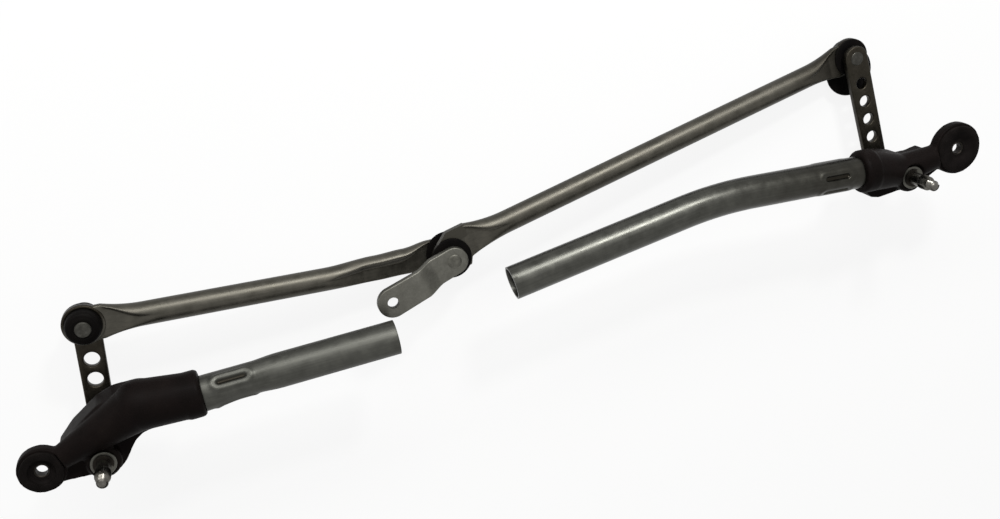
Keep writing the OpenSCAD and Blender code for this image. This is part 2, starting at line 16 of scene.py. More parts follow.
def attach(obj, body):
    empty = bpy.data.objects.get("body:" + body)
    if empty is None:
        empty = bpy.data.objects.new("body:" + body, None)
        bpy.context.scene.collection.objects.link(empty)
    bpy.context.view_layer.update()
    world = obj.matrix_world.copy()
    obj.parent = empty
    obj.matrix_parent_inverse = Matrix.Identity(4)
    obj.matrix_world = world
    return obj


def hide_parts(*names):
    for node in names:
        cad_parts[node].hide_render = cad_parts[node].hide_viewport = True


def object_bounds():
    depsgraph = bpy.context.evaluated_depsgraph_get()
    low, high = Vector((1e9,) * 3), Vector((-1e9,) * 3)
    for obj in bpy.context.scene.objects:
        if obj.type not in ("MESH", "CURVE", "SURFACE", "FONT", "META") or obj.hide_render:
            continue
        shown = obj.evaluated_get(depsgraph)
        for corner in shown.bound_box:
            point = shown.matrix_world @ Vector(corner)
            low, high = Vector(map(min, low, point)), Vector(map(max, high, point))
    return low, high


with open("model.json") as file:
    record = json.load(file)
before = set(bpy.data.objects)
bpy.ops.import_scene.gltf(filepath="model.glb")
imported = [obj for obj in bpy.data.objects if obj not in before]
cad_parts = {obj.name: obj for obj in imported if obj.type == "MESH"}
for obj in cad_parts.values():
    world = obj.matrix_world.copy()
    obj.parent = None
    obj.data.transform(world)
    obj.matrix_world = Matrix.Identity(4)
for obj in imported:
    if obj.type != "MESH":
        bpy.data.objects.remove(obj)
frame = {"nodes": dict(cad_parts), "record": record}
cad_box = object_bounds()
record = frame["record"]
body_of = {n: b for b, nodes in record["behaviour"]["bodies"].items() for n in nodes}
MM = 0.001

# %% [markdown]
# ## Where the joints are
# Each ball joint's centre is stated once, in the record. The rods' eyes lie a little off the balls, on
# the side of the crank that carries them, so the eyes follow from the balls and two drops.

# %% Joint centres and eyes, in millimetres
centre = {j["name"]: Vector(j["pos_m"]) / MM for j in record["behaviour"]["joints"]}
OUTER_DROP = 7.0
INNER_DROP = 4.0
left_ball = centre["left_outer_ball"]
right_ball = centre["right_outer_ball"]
left_eye = left_ball - Vector((0, 0, OUTER_DROP))
right_eye = right_ball + Vector((0, 0, OUTER_DROP))
lower_ball = centre["motor_crank_ball"]
upper_ball = centre["right_inner_ball"]
lower_eye = lower_ball + Vector((0, 0, INNER_DROP))
upper_eye = upper_ball + Vector((0, 0, INNER_DROP))
right_shaft_x = centre["right_shaft_turn"].x
print("eyes", [tuple(round(c, 1) for c in e) for e in (left_eye, lower_eye, upper_eye, right_eye)])

# %% [markdown]
# ## Colours and nodes
# Colours are written as sRGB hex, as a paint chart gives them, and turned to linear light in one place.
# A node tree is a list of nodes and links, so one small function adds a node, sets it and links it.

# %% Helpers for materials
def linear(code):
    parts = [int(code[i:i + 2], 16) / 255 for i in (1, 3, 5)]
    return tuple(p / 12.92 if p <= 0.04045 else ((p + 0.055) / 1.055) ** 2.4 for p in parts) + (1.0,)


def add(tree, kind, inputs=None, **settings):
    node = tree.nodes.new("ShaderNode" + kind)
    for i, (place, code) in enumerate(settings.pop("stops", ())):
        stop = node.color_ramp.elements[i] if i < 2 else node.color_ramp.elements.new(place)
        stop.position, stop.color = place, linear(code)
    for key, value in settings.items():
        setattr(node, key, value)
    for key, value in (inputs or {}).items():
        if isinstance(value, bpy.types.NodeSocket):
            tree.links.new(value, node.inputs[key])
        else:
            node.inputs[key].default_value = value
    return node


def new_material(name):
    material = bpy.data.materials.new(name)
    material.use_nodes = True
    tree = material.node_tree
    tree.nodes.clear()
    return material, tree


print("helpers ready")

# %% [markdown]
# ## Zinc plated drawn tube
# The frame tubes and link rods are drawn steel with a dull grey zinc plating. Drawing leaves faint lines
# along the tube and the plating clouds over. Shade is painted into the colour too: in the crimp slots, at
# the foot of each rod's fold, on one side of each eye, on the right rod's inner flank, towards the right
# tube's collar and towards the right rod's outer end. A pattern on plain coordinates would cut across the
# bent tube, so each tube stores straightened coordinates, called drawn, and the shade painted on it, and
# the pattern follows those.

# %% Zinc plated drawn steel: soft grey, faint lines along the tube, cloudy patches, painted shade
def drawn_steel(name, dark, mid, light, rough):
    material, tree = new_material(name)
    drawn = add(tree, "Attribute", attribute_name="drawn").outputs["Vector"]
    painted_shade = add(tree, "Attribute", attribute_name="painted_shade").outputs["Fac"]
    # lines about 0.7 mm apart and 60 mm long
    stretched = add(tree, "Mapping", {"Vector": drawn, "Scale": (16, 700, 700)}).outputs["Vector"]
    lines = add(tree, "TexNoise", {"Vector": stretched, "Scale": 1.0, "Detail": 3.0, "Roughness": 0.6})
    # clouds about 9 mm across
    clouds = add(tree, "TexNoise", {"Vector": drawn, "Scale": 110.0, "Detail": 5.0, "Roughness": 0.62})
    blend = add(tree, "Mix", {"Factor": 0.62, 2: lines.outputs["Fac"], 3: clouds.outputs["Fac"]})
    unshaded_plating = add(tree, "ValToRGB", {"Fac": blend.outputs[0]}, stops=[(0.3, dark), (0.5, mid), (0.72, light)])
    # painted shade: a stored per-vertex amount darkens the plating towards #1A1610
    colour = add(tree, "Mix", {"Factor": painted_shade, 6: unshaded_plating.outputs["Color"], 7: linear("#1A1610")},
                 data_type="RGBA").outputs[2]
    rough_at = add(tree, "MapRange", {"Value": clouds.outputs["Fac"], "From Min": 0.3, "From Max": 0.7,
                                      "To Min": rough - 0.05, "To Max": rough + 0.09}).outputs["Result"]
    # plating grain of about 0.5 mm, drawn coarser than life so that it shows
    grain = add(tree, "TexNoise", {"Vector": drawn, "Scale": 2000.0, "Detail": 2.0})
    relief = add(tree, "Mix", {"Factor": 0.5, 2: lines.outputs["Fac"], 3: grain.outputs["Fac"]})
    bump = add(tree, "Bump", {"Height": relief.outputs[0], "Strength": 0.07, "Distance": 0.00012})
    shader = add(tree, "BsdfPrincipled", {"Base Color": colour, "Metallic": 1.0, "Roughness": rough_at,
                                          "Normal": bump.outputs["Normal"]})
    add(tree, "OutputMaterial", {"Surface": shader.outputs["BSDF"]})
    return material


# the right tube shines more than the left one, so its plating is glossier
left_tube_steel = drawn_steel("dull zinc plated tube", "#3A3A36", "#454541", "#50504B", 0.45)
right_tube_steel = drawn_steel("bright zinc plated tube", "#3A3A36", "#454541", "#50504B", 0.31)
rod_steel = drawn_steel("zinc plated pressed rod", "#3C3A34", "#47453F", "#524F48", 0.41)
print(left_tube_steel.name, right_tube_steel.name, rod_steel.name)

# %% [markdown]
# ## Sheet and bar steel
# The motor crank is a dull zinc plated pressing, and the wiper cranks are bar with a dark phosphate coat.
# Both are flat and speckled rather than lined, so object coordinates are enough: a coarse cloud, a fine
# speckle and a little relief.

# %% Flat steel: clouds, speckle and a soft bump
def flat_steel(name, dark, mid, light, rough):
    material, tree = new_material(name)
    spot = add(tree, "TexCoord").outputs["Object"]
    # clouds of about 7 mm and a speckle of about 0.8 mm
    clouds = add(tree, "TexNoise", {"Vector": spot, "Scale": 140.0, "Detail": 4.0, "Roughness": 0.6})
    speckle = add(tree, "TexNoise", {"Vector": spot, "Scale": 1250.0, "Detail": 3.0, "Roughness": 0.7})
    blend = add(tree, "Mix", {"Factor": 0.45, 2: clouds.outputs["Fac"], 3: speckle.outputs["Fac"]})
    colour = add(tree, "ValToRGB", {"Fac": blend.outputs[0]}, stops=[(0.3, dark), (0.5, mid), (0.7, light)])
    rough_at = add(tree, "MapRange", {"Value": speckle.outputs["Fac"], "From Min": 0.3, "From Max": 0.7,
                                      "To Min": rough - 0.06, "To Max": rough + 0.08}).outputs["Result"]
    bump = add(tree, "Bump", {"Height": speckle.outputs["Fac"], "Strength": 0.25, "Distance": 0.00015})
    shader = add(tree, "BsdfPrincipled", {"Base Color": colour.outputs["Color"], "Metallic": 1.0,
                                          "Roughness": rough_at, "Normal": bump.outputs["Normal"]})
    add(tree, "OutputMaterial", {"Surface": shader.outputs["BSDF"]})
    return material


pressing_steel = flat_steel("dull zinc plated pressing", "#504F49", "#5C5B55", "#686760", 0.46)
crank_steel = flat_steel("phosphate coated bar", "#22201B", "#2E2B25", "#3A3630", 0.42)
sleeve_steel = flat_steel("phosphate coated sleeve", "#1A1816", "#24211E", "#2F2C28", 0.5)
washer_steel = flat_steel("zinc plated washer", "#3E3D38", "#4B4A45", "#5A5953", 0.36)
print(pressing_steel.name, "and", crank_steel.name)

# %% [markdown]
# ## Turned steel and sintered bronze
# Shafts and ball studs are turned, so the tool leaves fine rings across the axis. Here every turned piece
# has its axis along Z, so a wave along Z draws those rings. The bushes are pressed bronze powder: dull,
# with dark pores.

# %% Turned steel: fine rings round Z
def turned_steel(name, dark, mid, light, rough):
    material, tree = new_material(name)
    spot = add(tree, "TexCoord").outputs["Object"]
    # tool rings about 0.35 mm apart
    rings = add(tree, "TexWave", {"Vector": spot, "Scale": 450.0, "Distortion": 0.6, "Detail": 1.0},
                wave_type="BANDS", bands_direction="Z")
    clouds = add(tree, "TexNoise", {"Vector": spot, "Scale": 330.0, "Detail": 4.0, "Roughness": 0.6})
    colour = add(tree, "ValToRGB", {"Fac": clouds.outputs["Fac"]},
                 stops=[(0.3, dark), (0.5, mid), (0.7, light)])
    bump = add(tree, "Bump", {"Height": rings.outputs["Fac"], "Strength": 0.12, "Distance": 0.00005})
    shader = add(tree, "BsdfPrincipled", {"Base Color": colour.outputs["Color"], "Metallic": 1.0,
                                          "Roughness": rough, "Normal": bump.outputs["Normal"]})
    add(tree, "OutputMaterial", {"Surface": shader.outputs["BSDF"]})
    return material


shaft_steel = turned_steel("turned shaft steel", "#4C4A45", "#5C5A55", "#6C6A65", 0.28)
stud_steel = turned_steel("turned stud steel", "#31302D", "#3C3B37", "#474642", 0.34)
head_steel = turned_steel("zinc plated stud steel", "#494842", "#55544E", "#605F58", 0.42)
print(shaft_steel.name, stud_steel.name, head_steel.name)

# %% Sintered bronze: dull, with dark pores of about 0.3 mm
bush_bronze, tree = new_material("sintered bronze")
spot = add(tree, "TexCoord").outputs["Object"]
pores = add(tree, "TexVoronoi", {"Vector": spot, "Scale": 2600.0})
colour = add(tree, "ValToRGB", {"Fac": pores.outputs["Distance"]},
             stops=[(0.08, "#4A361F"), (0.3, "#8C6B3E"), (0.8, "#A4804C")])
shader = add(tree, "BsdfPrincipled", {"Base Color": colour.outputs["Color"], "Metallic": 1.0,
                                      "Roughness": 0.5})
add(tree, "OutputMaterial", {"Surface": shader.outputs["BSDF"]})
print(bush_bronze.name)

# %% [markdown]
# ## Black coated casting, plastic and rubber
# The housings are die-cast aluminium under a satin black coat, which flows round edges and keeps a slight
# orange peel. The sockets are moulded acetal, smooth and waxy. The grommets are rubber, matt and dusty.

# %% Black coated die-cast aluminium: satin, orange peel, a greyer bloom in places
cast_black, tree = new_material("black coated die-cast aluminium")
spot = add(tree, "TexCoord").outputs["Object"]
# orange peel of about 1.2 mm, bloom of about 25 mm
peel = add(tree, "TexNoise", {"Vector": spot, "Scale": 850.0, "Detail": 2.0, "Roughness": 0.5})
bloom = add(tree, "TexNoise", {"Vector": spot, "Scale": 40.0, "Detail": 4.0, "Roughness": 0.65})
colour = add(tree, "ValToRGB", {"Fac": bloom.outputs["Fac"]},
             stops=[(0.35, "#0D0A09"), (0.55, "#110D0C"), (0.75, "#161210")])
rough_at = add(tree, "MapRange", {"Value": bloom.outputs["Fac"], "From Min": 0.3, "From Max": 0.7,
                                  "To Min": 0.42, "To Max": 0.58}).outputs["Result"]
bump = add(tree, "Bump", {"Height": peel.outputs["Fac"], "Strength": 0.3, "Distance": 0.00025})
shader = add(tree, "BsdfPrincipled", {"Base Color": colour.outputs["Color"], "Roughness": rough_at,
                                      "Specular IOR Level": 0.025, "Normal": bump.outputs["Normal"]})
add(tree, "OutputMaterial", {"Surface": shader.outputs["BSDF"]})
print(cast_black.name)

# %% Moulded acetal and rubber
def moulded(name, dark, light, rough, scale, strength):
    material, tree = new_material(name)
    spot = add(tree, "TexCoord").outputs["Object"]
    skin = add(tree, "TexNoise", {"Vector": spot, "Scale": scale, "Detail": 3.0, "Roughness": 0.6})
    haze = add(tree, "TexNoise", {"Vector": spot, "Scale": 120.0, "Detail": 3.0})
    colour = add(tree, "ValToRGB", {"Fac": haze.outputs["Fac"]}, stops=[(0.35, dark), (0.7, light)])
    bump = add(tree, "Bump", {"Height": skin.outputs["Fac"], "Strength": strength, "Distance": 0.0002})
    shader = add(tree, "BsdfPrincipled", {"Base Color": colour.outputs["Color"], "Roughness": rough,
                                          "Specular IOR Level": 0.025, "Normal": bump.outputs["Normal"]})
    add(tree, "OutputMaterial", {"Surface": shader.outputs["BSDF"]})
    return material


# acetal with a spark-eroded skin of about 0.6 mm; rubber with a coarser, duller skin of about 1 mm
acetal = moulded("black moulded acetal", "#080707", "#0D0B0A", 0.5, 1700.0, 0.2)
rubber = moulded("black moulded rubber", "#0E0C0B", "#171413", 0.72, 1000.0, 0.35)
print(acetal.name, rubber.name)

# %% [markdown]
# ## From bmesh to piece
# Each piece is modelled in millimetres where it stands. One function scales it to metres, closes it,
# turns its faces outwards and hands it to the body that its solid rides on. Round pieces come from a
# half outline that is spun once round, which is how a lathe makes them.

# %% Helpers for pieces
def finish_piece(name, bm, node, material, bevel=0.0, sharp=35, wall=0.0):
    bmesh.ops.remove_doubles(bm, verts=bm.verts, dist=0.002)
    bmesh.ops.recalc_face_normals(bm, faces=bm.faces)
    bmesh.ops.scale(bm, vec=(MM, MM, MM), verts=bm.verts)
    mesh = bpy.data.meshes.new(name)
    bm.to_mesh(mesh)
    bm.free()
    dress(name, mesh, node, material, bevel, sharp, wall)


def dress(name, mesh, node, material, bevel=0.0, sharp=35, wall=0.0):
    mesh.materials.clear()
    mesh.materials.append(material)
    for face in mesh.polygons:
        face.use_smooth = True
    mesh.set_sharp_from_angle(angle=math.radians(sharp))
    piece = bpy.data.objects.new(name, mesh)
    bpy.context.scene.collection.objects.link(piece)
    if wall:
        shell = piece.modifiers.new("wall", "SOLIDIFY")
        shell.thickness = wall * MM
        shell.offset = -1
    if bevel:
        edge = piece.modifiers.new("edges", "BEVEL")
        edge.width = bevel * MM
        edge.segments = 2
        edge.limit_method = "ANGLE"
        edge.angle_limit = math.radians(sharp)
    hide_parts(node)
    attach(piece, body_of[node])
    print(name, "replaces", node, len(mesh.polygons), "faces")


def turn(bm, outline, steps=72, closed=True):
    """Spins a half outline of (radius, height) pairs once round Z and returns the new vertices."""
    before = set(bm.verts)
    row = [bm.verts.new((r, 0, z)) for r, z in outline]
    pairs = list(zip(row, row[1:])) + ([(row[-1], row[0])] if closed else [])
    edges = [bm.edges.new(pair) for pair in pairs]
    bmesh.ops.spin(bm, geom=row + edges, cent=(0, 0, 0), axis=(0, 0, 1), angle=2 * math.pi,
                   steps=steps, use_merge=True)
    return [v for v in bm.verts if v not in before]


def place(bm, verts, at, flip=False):
    if flip:
        bmesh.ops.scale(bm, vec=(1, 1, -1), verts=verts)
    bmesh.ops.translate(bm, vec=at, verts=verts)


def verts_in(geom):
    return [g for g in geom if isinstance(g, bmesh.types.BMVert)]


print("piece helpers ready")

# %% [markdown]
# ## Frame tubes
# Each tube slides over a spigot of its housing and is crimped there: a press dents a short slot into the
# wall and the metal swells up round it. A cylinder with cut slots would look milled, so a ring of edges is
# extruded along the tube in small steps and the wall is pushed in and out where the crimps are. The wall's
# thickness comes from a Solidify modifier, and the straightened coordinates are stored on the way.

# %% A tube from a ring that is extruded through its stations
def ease(x):
    x = min(1.0, max(0.0, x))
    return x * x * (3 - 2 * x)


# CRIMP_DARK is the painted shade inside each crimp's slot
CRIMP_LEN, CRIMP_W, CRIMP_DEEP, CRIMP_DARK = 21.5, 4.6, 1.7, 0.85
CRIMPED_TO = 42


def draw_tube(bm, stations, section, count):
    """Extrudes a ring along stations; section(station, turn) gives each vertex its place, its straightened
    coordinates and its painted shade.
    """
    turn_of = bm.verts.layers.float.new("turn")
    drawn = bm.verts.layers.float_vector.new("drawn")
    painted_shade = bm.verts.layers.float.new("painted_shade")
    ring = bmesh.ops.create_circle(bm, segments=count, radius=1)["verts"]
    for i, v in enumerate(ring):
        v[turn_of] = 2 * math.pi * i / count
    edges = list({e for v in ring for e in v.link_edges})
    for n, station in enumerate(stations):
        if n:
            made = bmesh.ops.extrude_edge_only(bm, edges=edges)["geom"]
            ring = verts_in(made)
            rim = set(ring)
            edges = [g for g in made if isinstance(g, bmesh.types.BMEdge) and set(g.verts) <= rim]
        for v in ring:
            v.co, v[drawn], v[painted_shade] = section(station, v[turn_of])
    bm.verts.layers.float.remove(turn_of)


def crimp_push(along, around, swell, slope):
    """How far a crimp moves the wall, and how much shade is painted into its slot, from the distance to the
    slot's middle line.
    """
    gap = math.hypot(max(0.0, abs(along) - (CRIMP_LEN - CRIMP_W) / 2), around)
    inside = 1 - ease((gap - (0.38 - slope / 2) * CRIMP_W) / (slope * CRIMP_W))
    ridge = swell * math.exp(-((gap - 1.15 * CRIMP_W) / (0.42 * CRIMP_W)) ** 2)
    return ridge - CRIMP_DEEP * inside, CRIMP_DARK * inside


def steps_between(a, b, step):
    n = max(1, round((b - a) / step))
    return [a + (b - a) * i / n for i in range(n)]


def tube_stations(end):
    """Fine steps over the crimps and coarse ones beyond."""
    crimped = steps_between(0.3, 4, 1) + steps_between(4, CRIMPED_TO, 0.6)
    return crimped + steps_between(CRIMPED_TO, end, 4) + [end]


print("tube helpers ready")

# %% Left tube: necked at the crimps, then straight to its plain open end
TUBE_R, WALL, TUBE_AROUND = 12.5, 1.5, 150
CRIMP_AT, LEFT_SHIFT = 24.0, 2.5
LEFT_LEN, NECKED, SWOLLEN = 140, 1.0, 2.3
left_collar = Vector((77.5, 24.2, -4.0))
left_angle = math.radians(-3.8)
left_dir = Vector((math.cos(left_angle), math.sin(left_angle), 0))
left_side = Vector((-left_dir.y, left_dir.x, 0))
UP = Vector((0, 0, 1))


def left_section(s, a):
    r, dark = TUBE_R - NECKED * (1 - ease((s - 36) / 18)), 0.0
    # the press of the lowest crimp leaves that side swollen towards the collar
    r += SWOLLEN * ease((0.2 - math.sin(a)) / 1.2) * (1 - ease(s / 26))
    # each crimp pushes the wall and paints shade into its slot
    for crimp in (43, 163, 283):
        lean = (a - math.radians(crimp) + math.pi) % (2 * math.pi) - math.pi
        push, shade = crimp_push(s - CRIMP_AT + LEFT_SHIFT, lean * TUBE_R, swell=0.8, slope=0.52)
        r, dark = r + push, dark + shade
    out = math.cos(a) * UP + math.sin(a) * left_side
    return left_collar + s * left_dir + r * out, Vector((s, r * math.cos(a), r * math.sin(a))) * MM, dark


bm = bmesh.new()
draw_tube(bm, tube_stations(LEFT_LEN), left_section, TUBE_AROUND)
finish_piece("tube_left", bm, "left_tube", left_tube_steel, bevel=0.25, wall=WALL)

# %% Right tube: crimped, gently bent, then straight to its plain open end
right_collar = Vector((right_shaft_x - 44.0, 17.6, -4.0))
right_angle = math.radians(171.5)
RUN_A, RUN_B, BEND, BEND_R = 90.0, 140.0, math.radians(12), 280.0
# painted shade: the right tube darkens towards its collar, fading out over its first 170 mm
COLLAR_SHADE, COLLAR_SHADE_TO = 0.55, 170


def right_axis(s):
    """Point on the bent axis, with the direction there."""
    start = Vector((math.cos(right_angle), math.sin(right_angle), 0))
    swept = min(max(s - RUN_A, 0.0), BEND * BEND_R) / BEND_R
    side = Vector((-start.y, start.x, 0))
    there = right_collar + min(s, RUN_A) * start
    there = there + BEND_R * (math.sin(swept) * start + (1 - math.cos(swept)) * side)
    heading = math.cos(swept) * start + math.sin(swept) * side
    return there + max(0.0, s - RUN_A - BEND * BEND_R) * heading, heading


def right_section(s, a):
    point, heading = right_axis(s)
    side = Vector((-heading.y, heading.x, 0))
    # painted shade towards the collar; the crimps below paint shade into their slots
    r, dark = TUBE_R, COLLAR_SHADE * (1 - ease(s / COLLAR_SHADE_TO))
    for crimp in (47, -13, 167, 227):
        lean = (a - math.radians(crimp) + math.pi) % (2 * math.pi) - math.pi
        push, shade = crimp_push(s - CRIMP_AT, lean * TUBE_R, swell=0.4, slope=0.26)
        r, dark = r + push, max(dark, shade)
    out = math.cos(a) * UP + math.sin(a) * side
    return point + r * out, Vector((s, r * math.cos(a), r * math.sin(a))) * MM, dark


bm = bmesh.new()
draw_tube(bm, tube_stations(RUN_A + BEND * BEND_R + RUN_B), right_section, TUBE_AROUND)
finish_piece("tube_right", bm, "right_tube", right_tube_steel, bevel=0.25, wall=WALL)

# %% [markdown]
# ## Link rods
# A link rod is one tube whose ends are pressed flat and pierced. Two dies come together on the tube, so a
# flat ramp runs from the tube's crest down to the sheet, narrow at first and then as wide as the sheet,
# and the wall keeps a fat round fold along one edge. A box blended into a cylinder can't show that, so
# the same ring is extruded along the rod, and each section is an oval with its top and bottom cut off
# where the dies would stand.

# %% A section between a round tube and a pressed flat
ROD_R = 8.5
EYE_R = 14.6
SOCKET_R = 12.0
EYE_HALF = 2.8
SHEET = 2.5
SOFT = 0.6
DIE_CLEAR = 0.6
FOLD_UP = 5.0
ROD_AROUND = 160


def row_at(rows, s):
    """Eases between rows of (place, half width, side); a fourth number bends the ease."""
    for a, b in zip(rows, rows[1:]):
        if s <= b[0]:
            t = (s - a[0]) / (b[0] - a[0])
            bend = (a[3:] or (0,))[0]
            t = 1 - (1 - t) ** 2 if bend > 0 else t * t if bend < 0 else ease(t)
            return [p + (q - p) * t for p, q in zip(a[1:3], b[1:3])]
    return rows[-1][1:3]


def rod_outline(a, half, die, fold, reach):
    """Sideways and upward place of a vertex at turn a, below a die at that height, and the painted shadow
    line at the foot of its fold.
    """
    u, v = math.cos(a), math.sin(a)
    tall = ROD_R * abs(v)
    pressed = min(1.0, max(0.0, (ROD_R - die) / (ROD_R - SHEET)))
    # the die is narrower than the tube, so one side keeps a fat round fold, which narrows towards the eye
    foot = 0.76 - 0.74 * reach
    die += fold * FOLD_UP * ease((u - foot) / (0.4 + 0.3 * reach))
    cut = -SOFT * math.log(math.exp(-tall / SOFT) + math.exp(-die / SOFT)) if tall > 1.2 else tall
    # painted shadow line along the foot of the fold, where the flat meets it
    fold_shadow = 0.3 * fold * pressed * math.exp(-((u - foot - 0.02) / 0.09) ** 2)
    return half * u, math.copysign(max(0.0, cut), v), fold_shadow


def make_rod(start, stop, line_a, line_b, rows, presses, end_shade):
    """Lofts a rod on the line from line_a to line_b and spins an eye at each end."""
    axis = (line_b - line_a).normalized()
    flat_dir = Vector((axis.x, axis.y, 0)).normalized()
    side = Vector((-flat_dir.y, flat_dir.x, 0))
    over = axis.cross(side).normalized()
    first, last = rows[0][0], rows[-1][0]

    def section(s, a):
        half, shift = row_at(rows, s)
        die = min(SHEET + (ROD_R + DIE_CLEAR - SHEET) * max(0.0, (s - flat) / (apex - flat))
                  for flat, apex in presses)
        near = min(s - first, last - s)
        v, h, dark = rod_outline(a, half, die, ease((near - 0.5) / 5), ease((near - 3) / 24))
        point = line_a + s * axis + (v + shift) * side + h * over
        for eye, sign, end in ((start, 1, first), (stop, -1, last)):
            if abs(s - end) < 1e-6:
                # the last ring follows the eye's own circle, inside its wall
                across = (point - eye).dot(side)
                reach = math.sqrt(max(0.0, (EYE_R - 1) ** 2 - across * across))
                level = point.z - (line_a + s * axis).z
                point = eye + across * side + sign * reach * flat_dir
                point.z = eye.z + level
        # painted shade: the fold's shadow line, plus a darkening towards the stop end over about 60 mm, as
        # much as the last argument asks
        return point, Vector((s, v, h)) * MM, min(1.0, dark + end_shade * ease((s - last + 62) / 50))

    bm = bmesh.new()
    stations = steps_between(first, first + 60, 0.7) + steps_between(first + 60, last - 100, 4)
    draw_tube(bm, stations + steps_between(last - 100, last, 0.7) + [last], section, ROD_AROUND)
    rims = [e for e in bm.edges if e.is_boundary]
    bmesh.ops.holes_fill(bm, edges=rims, sides=0)
    drawn = bm.verts.layers.float_vector["drawn"]
    painted_shade = bm.verts.layers.float["painted_shade"]
    t = EYE_HALF
    wall = [(SOCKET_R, -t + 0.4), (SOCKET_R + 0.4, -t), (EYE_R - 0.9, -t), (EYE_R - 0.25, -t + 0.3),
            (EYE_R, -t + 1), (EYE_R, t - 1), (EYE_R - 0.25, t - 0.3), (EYE_R - 0.9, t),
            (SOCKET_R + 0.4, t), (SOCKET_R, t - 0.4)]
    for eye in (start, stop):
        ring = turn(bm, wall, 72)
        place(bm, ring, eye)
        # painted shade on each eye's wall, darker towards its +Y side
        for v in ring:
            v[drawn] = (v.co - eye) * MM
            v[painted_shade] = 0.85 * ease(0.45 + 1.2 * (v.co - eye).normalized().y)
    return bm


print("rod helpers ready")

# %% Left rod: a short fishtail at the wiper crank, a long pressed flat at the motor crank
span = Vector((lower_eye.x - left_eye.x, lower_eye.y - left_eye.y, 0)).normalized()
LEFT_STEP = 4.5
line_b = lower_eye - LEFT_STEP * Vector((-span.y, span.x, 0))
L = (line_b - left_eye).length
rows = [(12, 12.6, 0), (13, 12.6, 0, 1), (40, ROD_R, 0), (L - 94, ROD_R, 0), (L - 56, 9.5, 1.6),
        (L - 34, 9.8, 2.6), (L - 13, 11.4, 4.3), (L - 12, 11.4, LEFT_STEP)]
bm = make_rod(left_eye, lower_eye, left_eye, line_b, rows, [(20, 48), (L - 66, L - 96)], 0.0)
finish_piece("rod_left", bm, "left_rod", rod_steel, sharp=60)

# %% Right rod: a fishtail at each end, and a straight flank from the inner sheet's corner to its eye
span = Vector((right_eye.x - upper_eye.x, right_eye.y - upper_eye.y, 0)).normalized()
across = Vector((-span.y, span.x, 0))
RIGHT_STEP = 6.5
line_a = upper_eye + RIGHT_STEP * across
L = (right_eye - line_a).length
rows = [(12, 12.6, -RIGHT_STEP), (16, 13.6, 0.6, 1), (50, ROD_R, 0), (L - 40, ROD_R, 0, -1),
        (L - 13, 12.6, 0), (L - 12, 12.6, 0)]
# the last argument paints shade towards the right rod's outer end
bm = make_rod(upper_eye, right_eye, line_a, right_eye, rows, [(22, 50), (L - 20, L - 48)], 0.5)
rim = EYE_R - 0.4
shoulder = 3.0 * span + 20.0 * across
spread = math.acos(rim / shoulder.length)
tangent = shoulder.normalized() @ Matrix.Rotation(-spread, 3, "Z") * rim
arc = [tangent @ Matrix.Rotation(math.radians(6 * i), 3, "Z") * 0.92 for i in range(14)]
corner = [17.5 * span + y * across for y in (11.0, 20.2)]
lift = Vector((0, 0, SHEET - 0.15))
flank = [bm.verts.new(upper_eye + p + lift) for p in corner + [shoulder, tangent] + arc]
painted_shade = bm.verts.layers.float["painted_shade"]
# painted shade on the whole flank sheet
for v in flank:
    v[painted_shade] = 0.3
sheet = bm.faces.new(flank)
made = bmesh.ops.extrude_face_region(bm, geom=[sheet])["geom"]
bmesh.ops.translate(bm, vec=(0, 0, 0.3 - 2 * SHEET), verts=verts_in(made))
finish_piece("rod_right", bm, "right_rod", rod_steel, sharp=60)

# %% [markdown]
# ## Ball sockets
# A plastic cup snaps into each eye and over the ball. Its flange covers the eye on the crank's side, its
# dome swells over the eye's bore on the other, and the flat of the ball shows in the dome's mouth. It is
# moulded round, so it is spun.

# %% Sockets, spun from one outline
BALL_R = 7.0
MOUTH_R = 5.5
FLANGE_R = 14.5


def socket_outline(drop, flange=FLANGE_R):
    base = -drop - EYE_HALF - 1.5
    seat = -drop + EYE_HALF
    inner = BALL_R + 0.05
    dome = 4.0
    low = -math.sqrt(inner * inner - MOUTH_R * MOUTH_R)
    outside = [(7.0, base), (flange - 1.3, base), (flange - 0.4, base + 0.3), (flange, base + 0.8),
               (flange, base + 1.5), (SOCKET_R, base + 1.5), (SOCKET_R, seat), (12.4, seat + 0.1),
               (12.5, seat + 0.5)]
    for i in range(1, 9):
        t = i / 8
        outside.append((12.5 - 3.7 * t ** 2.4, seat + 0.5 + (dome - seat - 1.0) * math.sin(t * math.pi / 2)))
    outside += [(8.2, dome - 0.2), (7.5, dome), (6.2, dome), (5.85, dome - 0.15)]
    cup = []
    for i in range(10):
        h = (dome - 0.2) + (low - dome + 0.2) * i / 9
        cup.append((math.sqrt(inner * inner - h * h), h))
    return outside + cup + [(MOUTH_R, base + 1.5)]


# the inner sockets have broader flanges
for name, node, ball, drop, broader, flip in (
        ("socket_left_outer", "left_outer_socket", left_ball, OUTER_DROP, 0.0, False),
        ("socket_left_inner", "left_inner_socket", lower_ball, INNER_DROP, 2.2, True),
        ("socket_right_inner", "right_inner_socket", upper_ball, INNER_DROP, 0.7, True)):
    bm = bmesh.new()
    place(bm, turn(bm, socket_outline(drop, FLANGE_R + broader), 80), ball, flip)
    finish_piece(name, bm, node, acetal, sharp=30)

# %% Right outer socket, with the dirt shield that reaches towards the shaft
SHIELD_R, SHIELD_T, SHIELD_REACH, BITE_R = 20.0, 2.5, 13.0, 10.5
bm = bmesh.new()
rim = bmesh.ops.create_circle(bm, cap_ends=True, segments=96, radius=SHIELD_R,
                              matrix=Matrix.Translation((SHIELD_REACH, 0, 0)))["verts"]
